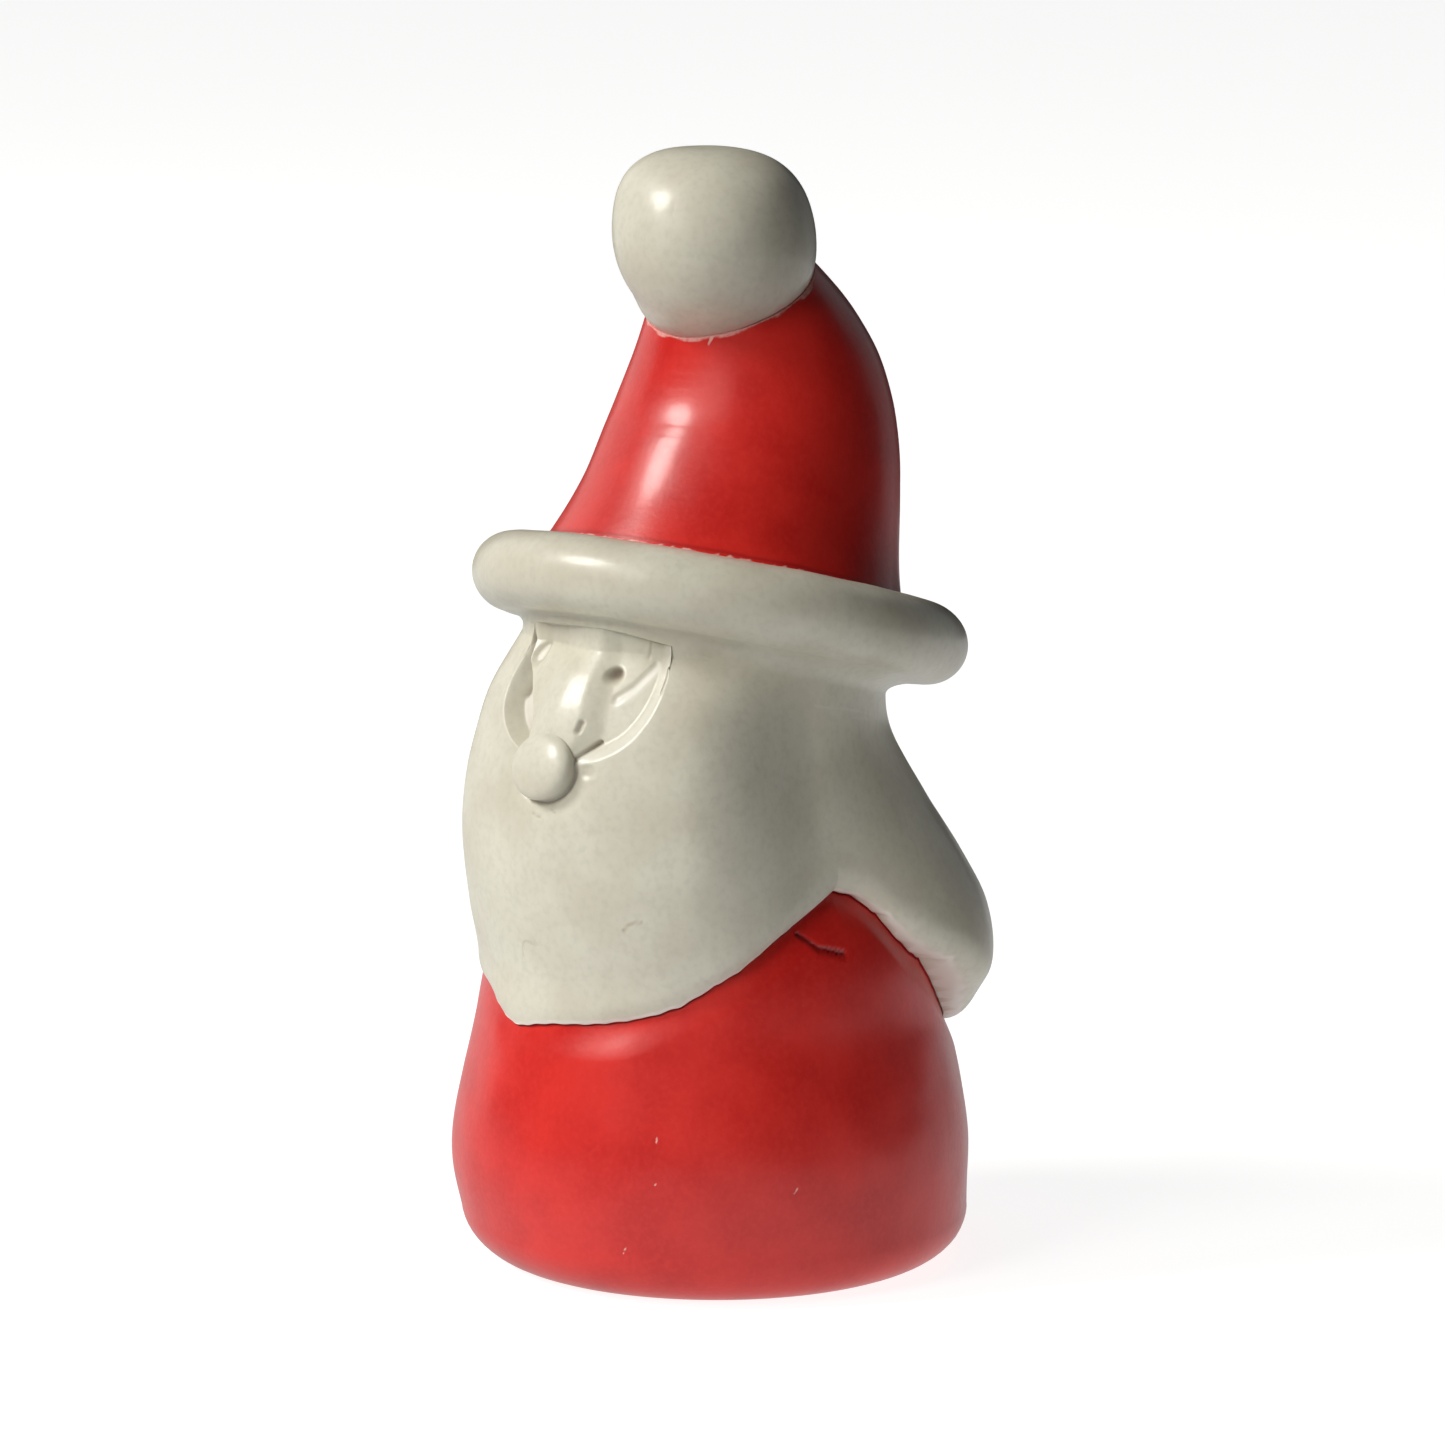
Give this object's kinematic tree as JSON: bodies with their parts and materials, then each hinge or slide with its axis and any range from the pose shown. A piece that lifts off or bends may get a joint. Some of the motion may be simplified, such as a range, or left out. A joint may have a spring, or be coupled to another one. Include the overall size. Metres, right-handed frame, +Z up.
{
  "type": "tomte gnome figurine",
  "caption": "Carved soapstone gnome with a red robe, a long pale beard, a round nose and a tall red hat with a rolled brim and pompom.",
  "frame": {"origin": "centre of the flat disc under the robe, on the surface that the figure stands on", "axes": "+Z up along the robe's axis, the face looks along -Y, and +X is the figure's own left"},
  "size_m": [0.0425, 0.0458, 0.0917],
  "materials": {
    "natural_stone": "waxed satin",
    "dyed_stone": "waxed satin"
  },
  "bodies": {
    "root": {"robe": "dyed_stone", "head": "natural_stone", "face": "natural_stone", "nose": "natural_stone", "beard": "natural_stone", "hair": "natural_stone", "hat_brim": "natural_stone", "hat_crown": "dyed_stone", "pompom": "natural_stone"}
  },
  "joints": []
}
